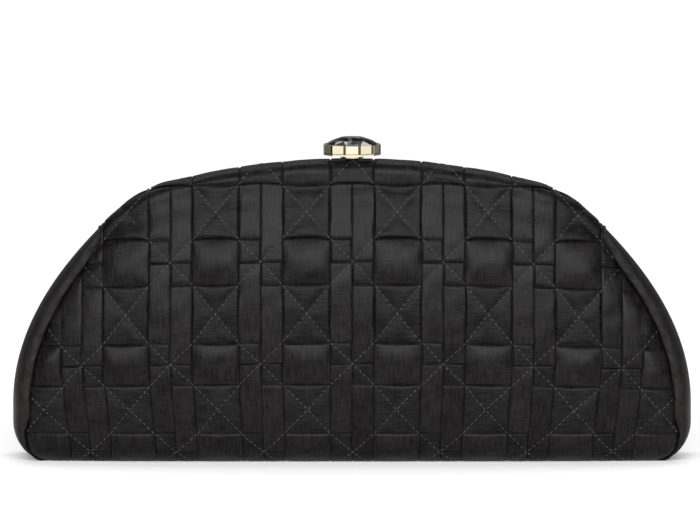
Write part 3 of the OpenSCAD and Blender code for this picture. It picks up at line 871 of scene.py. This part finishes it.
def stitch_tree():
    """Dashes of thread laid along a line mesh."""
    tree = bpy.data.node_groups.new("Stitch Line", "GeometryNodeTree")
    face = tree.interface
    face.new_socket(name="Geometry", in_out="INPUT", socket_type="NodeSocketGeometry")
    for label, value in (("Pitch", 0.0024), ("Dash", 0.0018), ("Thickness", 0.00036), ("Waver", 0.16)):
        face.new_socket(name=label, in_out="INPUT", socket_type="NodeSocketFloat").default_value = value
    face.new_socket(name="Seed", in_out="INPUT", socket_type="NodeSocketInt").default_value = 5
    face.new_socket(name="Material", in_out="INPUT", socket_type="NodeSocketMaterial")
    face.new_socket(name="Geometry", in_out="OUTPUT", socket_type="NodeSocketGeometry")
    new, link = tree.nodes.new, tree.links.new
    gin, gout = new("NodeGroupInput"), new("NodeGroupOutput")
    curve = new("GeometryNodeMeshToCurve")
    link(gin.outputs["Geometry"], curve.inputs[0])
    points = new("GeometryNodeCurveToPoints")
    points.mode = "LENGTH"
    link(curve.outputs[0], points.inputs[0])
    link(gin.outputs["Pitch"], points.inputs["Length"])
    ball = new("GeometryNodeMeshUVSphere")
    socket(ball, "Segments", 6)
    socket(ball, "Rings", 4)
    socket(ball, "Radius", 0.5)
    size = new("ShaderNodeCombineXYZ")
    link(gin.outputs["Thickness"], size.inputs[0])
    link(gin.outputs["Thickness"], size.inputs[1])
    link(gin.outputs["Dash"], size.inputs[2])
    turn = new("FunctionNodeRandomValue")
    turn.data_type = "FLOAT_VECTOR"
    link(gin.outputs["Seed"], turn.inputs["Seed"])
    for end, sign in (("Min", -1), ("Max", 1)):
        spread = new("ShaderNodeVectorMath")
        spread.operation = "SCALE"
        spread.inputs[0].default_value = (sign, sign, sign)
        link(gin.outputs["Waver"], spread.inputs["Scale"])
        link(spread.outputs[0], turn.inputs[end])
    rotate = new("FunctionNodeRotateRotation")
    link(points.outputs["Rotation"], rotate.inputs[0])
    to_turn = new("FunctionNodeEulerToRotation")
    link(turn.outputs[0], to_turn.inputs[0])
    link(to_turn.outputs[0], rotate.inputs[1])
    place = new("GeometryNodeInstanceOnPoints")
    link(points.outputs[0], place.inputs["Points"])
    link(ball.outputs[0], place.inputs["Instance"])
    link(rotate.outputs[0], place.inputs["Rotation"])
    link(size.outputs[0], place.inputs["Scale"])
    real = new("GeometryNodeRealizeInstances")
    link(place.outputs[0], real.inputs[0])
    paint_it = new("GeometryNodeSetMaterial")
    link(real.outputs[0], paint_it.inputs[0])
    link(gin.outputs["Material"], paint_it.inputs["Material"])
    link(paint_it.outputs[0], gout.inputs[0])
    return tree


STITCH = stitch_tree()


def stitched(name, lines, rear):
    """One mesh of thread dashes along every line of points."""
    verts, edges = [], []
    for line in lines:
        start = len(verts)
        verts += (line * ([1, -1, 1] if rear else [1, 1, 1]) * MM).tolist()
        edges += [(start + i, start + i + 1) for i in range(len(line) - 1)]
    mesh = bpy.data.meshes.new(name + "_line")
    mesh.from_pydata(verts, edges, [])
    line_obj = add_object(name + "_line", mesh)
    mod = line_obj.modifiers.new("Stitches", "NODES")
    mod.node_group = STITCH
    values = {"Seed": 5, "Material": THREAD}
    for item in STITCH.interface.items_tree:
        if item.in_out == "INPUT" and item.name in values:
            mod[item.identifier] = values[item.name]
    evaluated = line_obj.evaluated_get(bpy.context.evaluated_depsgraph_get())
    done = bpy.data.meshes.new_from_object(evaluated)
    bpy.data.objects.remove(line_obj)
    done.name = name
    obj = add_object(name, done)
    done.materials.clear()
    done.materials.append(THREAD)
    done.polygons.foreach_set("material_index", [0] * len(done.polygons))
    shade_smooth(done)
    return obj


def quilting_lines(rear):
    """Diagonals through each wide crossing and each crossing of two pairs."""
    lines = []
    for q0, q1, pair in CROSSINGS:
        for k in range(-4, 5):
            mid = k * PITCH if pair else (k + 0.5) * PITCH
            half = NARROW if pair else WIDE / 2
            for sign in (-1, 1):
                t = np.linspace(0.04, 0.96, 30)
                u = mid + half * sign * (2 * t - 1)
                q = q0 + (q1 - q0) * t
                seam = np.abs(u_limit(q, math.copysign(1, mid)))
                inside = (np.abs(u) < seam - 1.2) & (q < q_end(u) - 2.5)
                if inside.sum() < 4:
                    continue
                u, q = u[inside], q[inside]
                u = u + wander(u, k + 20, 0.5)
                lines.append(lay(u, q, LEVEL_OVER + quilt(u, q) + 0.22))
    return lines


# ---- clasp spring ----

press = next(j for j in frame["joints"] if j["name"] == "clasp_press")
coil_mesh = frame["nodes"]["clasp_spring"].data.copy()
coil_mesh.name = "spring_coil"
coil = add_object("spring_coil", coil_mesh)
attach(coil, press["parent"])
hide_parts("clasp_spring")
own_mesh(coil)


# ---- woven sides ----

def clear_of_clasp(obj, radius):
    """Opens the cloth where the clasp's bush goes through it."""
    bm = bmesh.new()
    bm.from_mesh(obj.data)
    middles = [(f, f.calc_center_median()) for f in bm.faces]
    hit = [f for f, p in middles if (p.xy / MM - Vector(CLASP[:2])).length < radius and p.z > 0.125]
    bmesh.ops.delete(bm, geom=hit, context="FACES")
    bm.to_mesh(obj.data)
    bm.free()


for side, half in SIDES:
    rear = side == "rear"
    ground = wadding(side + "_wadding", rear, GROUND)
    upright, upright_area = upright_ribbons(side + "_upright_ribbons", rear, UPRIGHT_SATIN)
    cross, cross_area = cross_ribbons(side + "_cross_ribbons", rear, CROSS_SATIN)
    quilting = stitched(side + "_quilting", quilting_lines(rear), rear)
    if rear:
        for piece in (ground, upright, cross):
            clear_of_clasp(piece, 2.6)
    for piece in (ground, upright, cross, quilting):
        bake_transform(piece)
    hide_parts(side + "_panel", side + "_yoke", side + "_sleeve")


# ---- gussets ----

GUSSET_TOP, GUSSET_T = 102.7, 0.8


def gusset_section(z, v):
    """Rolled side of the bag: v runs from the front seam, -1, to the rear one, 1."""
    seam = seam_x(z) + 0.1
    out = np.maximum(half_w(z) - seam, 0.3)
    deep = seam_y(z) + 0.45 * smooth(z / 12)
    near_top = clamp01((z - 86) / 16.8)
    deep = deep * np.sqrt(np.maximum(1 - near_top ** 8 * 0.96, 0))
    seam = mix(seam, np.maximum(seam, SLEEVE_END + 0.5), smooth((z - 88) / 8))
    out = np.maximum(half_w(z) - seam, 0.35)
    turn_v = np.clip(v / 0.88, -1, 1) * math.pi / 2
    curl = clamp01((np.abs(v) - 0.88) / 0.12) * math.pi / 2
    x = seam + out * np.abs(np.cos(turn_v)) ** 0.62 - (1.0 + 1.6 * smooth((z - 86) / 8)) * np.sin(curl)
    y = np.sign(v) * (deep * np.abs(np.sin(turn_v)) ** 0.86 - 2.0 * (1 - np.cos(curl)))
    pucker = 0.3 * np.sin(z * 1.15 + 0.9 * np.sin(z * 0.31)) + 0.3 * np.sin(z * 0.43 + 1.7)
    close = np.exp(-((1 - np.abs(v)) / 0.2) ** 2)
    y = y + np.sign(v) * pucker * close * smooth(z / 20)
    x = x + 0.5 * pucker * close
    return np.stack([x, y, np.broadcast_to(z, x.shape)], -1)


def sided(name, side, top, bottom, uv, material):
    """A slab drawn for the right side, built on its own side."""
    if side < 0:
        top, bottom, uv = (a[::-1].copy() for a in (top, bottom, uv))
        top[..., 0] *= -1
        bottom[..., 0] *= -1
    cloth = Cloth()
    cloth.slab(top, bottom, uv)
    return cloth.build(name, material)


def gusset(name, side):
    corner_z = CORNER * (1 - np.cos(np.radians(np.linspace(5, 90, 22))))
    vv, zz = grid(rounded(61), np.concatenate([corner_z, np.linspace(18.5, GUSSET_TOP, 62)]))
    top = gusset_section(zz, vv)
    dv = gusset_section(zz, np.clip(vv + 0.01, -1, 1)) - gusset_section(zz, np.clip(vv - 0.01, -1, 1))
    dz = gusset_section(np.minimum(zz + 0.2, GUSSET_TOP), vv) - gusset_section(np.maximum(zz - 0.2, 0.07), vv)
    bottom = top - GUSSET_T * unit(np.cross(dv, dz))
    bottom[..., 2] = np.maximum(bottom[..., 2], 0.05)
    return sided(name, side, top, bottom, np.stack([vv * 26 + 30, zz], -1), GUSSET_SATIN)


for name, side in (("gusset_left", -1), ("gusset_right", 1)):
    piece = gusset(name + "_satin", side)
    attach(piece, "bag")
    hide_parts(name)


# ---- base ----

cloth = Cloth()
ss, tt = grid(rounded(91), rounded(25))
xx = ss * (seam_x(np.array(0.0)) + 1)
yy = tt * (panel_y(ss, np.zeros_like(ss)) - 0.3)
rim = np.minimum((1 - np.abs(tt)) * 15, (1 - np.abs(ss)) * 60)
under = np.stack([xx, yy, 0.06 + 0.5 * (1 - smooth(rim / 1.2))], -1)
above = np.stack([xx, yy, np.full_like(xx, 2.35)], -1)
cloth.slab(above, under, np.stack([xx + UV_MID, yy + 60], -1))
base = cloth.build("base_satin", GUSSET_SATIN)
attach(base, "bag")
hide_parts("base_panel")


# ---- linings ----

def panel_top(s):
    """Height at which the lower lining ends."""
    return HINGE + 2 - 10.5 * s * s


def lining_grid(s, z, depth):
    """Point at a depth inside the lower panel, drawn on the front side."""
    def at(s, z):
        return np.stack([s * seam_x(z), -panel_y(s, z), z], -1)
    e = 0.004
    ds = at(np.minimum(s + e, 1), z) - at(np.maximum(s - e, -1), z)
    dz = at(s, z + 0.2) - at(s, np.maximum(z - 0.2, 0.02))
    return at(s, z) - unit(np.cross(ds, dz)) * np.asarray(depth)[..., None]


def creases(x, z, seed, amount):
    """Soft creases that cross each other."""
    r = np.random.default_rng(seed)
    out = np.zeros_like(x)
    for _ in range(7):
        a, wave = r.uniform(-1.2, 1.2), r.uniform(14, 46)
        out = out + np.sin((x * math.cos(a) + z * math.sin(a)) / wave * TURN + r.uniform(0, 6.3))
    return out * amount / 3


LINING_X = 140                           # half width of the flat lining
KNEE = 0.75                              # share of the upper band below its fold


def arch_inside(x, y, d):
    """Points a distance inside the crown's outline."""
    e = 0.05
    n = unit(np.stack([top_z(x - e) - top_z(x + e), np.full_like(x, 2 * e)], -1))
    return np.stack([x - n[..., 0] * d, y * np.ones_like(x), top_z(x) - n[..., 1] * d], -1)


for side, half in SIDES:
    cloth = Cloth(side == "rear")
    ss, tt = grid(rounded(81, 0.98) * 0.985, np.linspace(0, 1, 46))
    zz = mix(6.5, panel_top(ss), tt ** 1.2)
    fold = creases(ss * LINING_X, zz, 3 if side == "front" else 4, 0.22) * np.sin(math.pi * tt) ** 0.5
    cloth.slab(lining_grid(ss, zz, np.full_like(ss, 3.55)), lining_grid(ss, zz, 4.0 + 0.25 * (fold + 0.6)),
               np.stack([ss * LINING_X + UV_MID, zz], -1))
    # the upper band: from the panel's top to the knee, then up inside the frame to the hem
    ss, tt = grid(np.linspace(-0.88, 0.88, 71), np.linspace(0, 1, 20))
    foot = lining_grid(ss, panel_top(ss), np.full_like(ss, 3.5))
    foot[..., 2] += 0.2
    knee = arch_inside(ss * 109, -6.3, 14.2)
    hem = arch_inside(ss * 109, -6.3, 11.8)
    w = tt[..., None]
    path = np.where(w <= KNEE, mix(foot, knee, w / KNEE), mix(knee, hem, (w - KNEE) / (1 - KNEE)))
    sag = -0.9 * np.sin(math.pi * np.minimum(tt / KNEE, 1))
    ripple = 0.25 * np.sin(ss * 60) * np.sin(math.pi * np.minimum(tt, KNEE) / KNEE)
    path[..., 1] += sag + ripple
    inner = path + np.array([0, 0.75, 0])
    cloth.slab(path, inner, np.stack([ss * LINING_X + UV_MID, tt * 20 + 120], -1))
    piece = cloth.build(side + "_lining", LINING)
    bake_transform(piece)
    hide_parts("lining_" + side, "lining_yoke_" + side)

for name, side in (("lining_gusset_left", -1), ("lining_gusset_right", 1)):
    vv, zz = grid(rounded(33), np.linspace(3.5, HINGE - 5.2, 46))

    def lined(depth):
        tuck = seam_x(zz) - 0.5
        x = mix(tuck, half_w(zz), np.maximum(0, 1 - vv * vv) ** 0.6) - depth
        return np.stack([x, vv * (seam_y(zz) - 2.55 - 2.2 - 0.3), zz], -1)
    piece = sided(name + "_cloth", side, lined(1.65), lined(2.35 + 0.1 * creases(vv * 20, zz, 9, 0.3)),
                  np.stack([vv * 24 + 30, zz], -1), LINING)
    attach(piece, "bag")
    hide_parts(name)

cloth = Cloth()
ss, tt = grid(rounded(61), rounded(19))
box_lo, box_hi = low("lining_base"), high("lining_base")
xx, yy = ss * (box_hi[0] - 0.3), tt * (panel_y(ss, np.zeros_like(ss)) + 0.1)
puff = 0.5 * (1 - tt ** 4) * (1 - ss ** 8) * (1 + 0.3 * np.sin(xx / 9))
cloth.slab(np.stack([xx, yy, np.full_like(xx, box_hi[2]) + puff * 0.6], -1),
           np.stack([xx, yy, np.full_like(xx, box_lo[2])], -1), np.stack([xx + UV_MID, yy + 60], -1))
piece = cloth.build("base_lining", LINING)
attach(piece, "bag")
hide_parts("lining_base")

# slip pocket on the rear lining
box_lo, box_hi = low("slip_pocket"), high("slip_pocket")
pocket_s = box_hi[0] / float(seam_x(np.array(50.0)))
cloth = Cloth(True)
ss, tt = grid(np.linspace(-pocket_s, pocket_s, 51), np.linspace(0, 1, 31))
zz = mix(box_lo[2] + 0.3, box_hi[2] - 0.3, tt)
near = 4.6
loose = 0.9 * smooth((tt - 0.3) / 0.7) * np.cos(ss / pocket_s * math.pi / 2)
hem = 0.5 * smooth((tt - 0.86) / 0.02) * (1 - 0.5 * smooth((tt - 0.97) / 0.03))
cloth.slab(lining_grid(ss, zz, near + loose), lining_grid(ss, zz, near + loose + 0.6 + hem),
           np.stack([ss * LINING_X + UV_MID, zz + 200], -1))
pocket = cloth.build("pocket_cloth", LINING)
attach(pocket, "bag")
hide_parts("slip_pocket")

pocket_lines = []
edge_t = np.linspace(0.02, 0.98, 30)
edge_z = mix(box_lo[2], box_hi[2], edge_t)
edge_depth = 5.45 + 0.9 * smooth((edge_t - 0.3) / 0.7) * 0.04
for side in (-1, 1):
    pocket_lines.append(lining_grid(np.full(30, side * pocket_s * 0.975), edge_z, edge_depth))
across = np.linspace(-0.97, 0.97, 60) * pocket_s
pocket_lines.append(lining_grid(across, np.full(60, box_lo[2] + 1.2), np.full(60, 5.35)))
hem_z, hem_depth = mix(box_lo[2], box_hi[2], 0.885), 6.2 + 0.82 * np.cos(across / pocket_s * math.pi / 2)
pocket_lines.append(lining_grid(across, np.full(60, hem_z), hem_depth))
pocket_stitches = stitched("pocket_stitches", pocket_lines, True)
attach(pocket_stitches, "bag")

# ---- floor, light and camera ----

FLOOR_X, FLOOR_FRONT, FLOOR_BACK = 1.1, -0.36, 0.45   # metres


def stage_floor():
    mesh = bpy.data.meshes.new("floor")
    mesh.from_pydata([(-FLOOR_X, FLOOR_FRONT, 0), (FLOOR_X, FLOOR_FRONT, 0),
                      (-FLOOR_X, FLOOR_BACK, 0), (FLOOR_X, FLOOR_BACK, 0)], [], [(0, 1, 3, 2)])
    obj = add_object("floor", mesh)
    m, tree, shader = new_material("white floor")
    socket(shader, "Base Color", (0.97, 0.97, 0.97, 1))
    socket(shader, "Roughness", 0.9)
    socket(shader, "Specular IOR Level", 0.0)
    socket(shader, "Emission Color", (1, 1, 1, 1))
    socket(shader, "Emission Strength", 0.2)
    mesh.materials.append(m)


stage_floor()


def area_light(name, place, aim, size, power):
    data = bpy.data.lights.new(name, "AREA")
    data.shape = "RECTANGLE"
    data.size, data.size_y = size
    data.energy = power
    obj = add_object(name, data)
    obj.location = place
    obj.rotation_euler = (Vector(aim) - Vector(place)).to_track_quat("-Z", "Y").to_euler()


area_light("front softbox", (0.0, -2.1, 1.25), (0, 0, 0.07), (2.6, 0.9), 68)
area_light("overhead softbox", (0.0, 0.9, 2.2), (0, 0.3, 0), (3.0, 1.6), 34)


def studio_world():
    """White beyond the floor; its light is fullest from front and back, and dim from above and the sides."""
    world = bpy.data.worlds.new("studio")
    bpy.context.scene.world = world
    world.use_nodes = True
    tree = world.node_tree
    tree.nodes.clear()
    new, link, calc = tree.nodes.new, tree.links.new, partial(math_node, tree)
    split = new("ShaderNodeSeparateXYZ")
    link(new("ShaderNodeTexCoord").outputs["Generated"], split.inputs[0])
    y, z = split.outputs[1], split.outputs[2]
    level = calc("MULTIPLY_ADD", calc("MULTIPLY", y, y), 0.3, 0.09)
    level = calc("MULTIPLY", level, calc("MULTIPLY_ADD", calc("ABSOLUTE", z), -0.55, 1.0))
    # the studio's white floor runs on towards the front, seen low down in polished parts
    near_floor = calc("LESS_THAN", calc("ABSOLUTE", calc("ADD", z, 0.105)), 0.06)
    band = calc("MULTIPLY", calc("LESS_THAN", y, -0.3), near_floor)
    level = calc("MULTIPLY_ADD", band, 0.9, level)
    light, white = new("ShaderNodeBackground"), new("ShaderNodeBackground")
    link(level, light.inputs["Strength"])
    light.inputs["Color"].default_value = (1, 1, 1, 1)
    white.inputs["Color"].default_value = (1, 1, 1, 1)
    white.inputs["Strength"].default_value = 1.05
    choose, out = new("ShaderNodeMixShader"), new("ShaderNodeOutputWorld")
    link(new("ShaderNodeLightPath").outputs["Is Camera Ray"], choose.inputs[0])
    link(light.outputs[0], choose.inputs[1])
    link(white.outputs[0], choose.inputs[2])
    link(choose.outputs[0], out.inputs[0])


studio_world()

camera = bpy.data.cameras.new("camera")
camera_obj = add_object("camera", camera)
bpy.context.scene.camera = camera_obj
ELEVATION, DISTANCE, VIEW_W = math.radians(6.0), 3.0, 306.9 * MM
aim = Vector((-0.0009, 0.0, 0.0861))
camera_obj.location = aim + DISTANCE * Vector((0, -math.cos(ELEVATION), math.sin(ELEVATION)))
camera_obj.rotation_euler = (aim - camera_obj.location).to_track_quat("-Z", "Y").to_euler()
SENSOR, FRONT_Y = 36.0, 0.025            # the view's width is set at the panel's front
camera.sensor_width = SENSOR
camera.lens = SENSOR * (DISTANCE - FRONT_Y) / VIEW_W
camera.clip_end = 50
bpy.context.scene.view_settings.view_transform = "Standard"
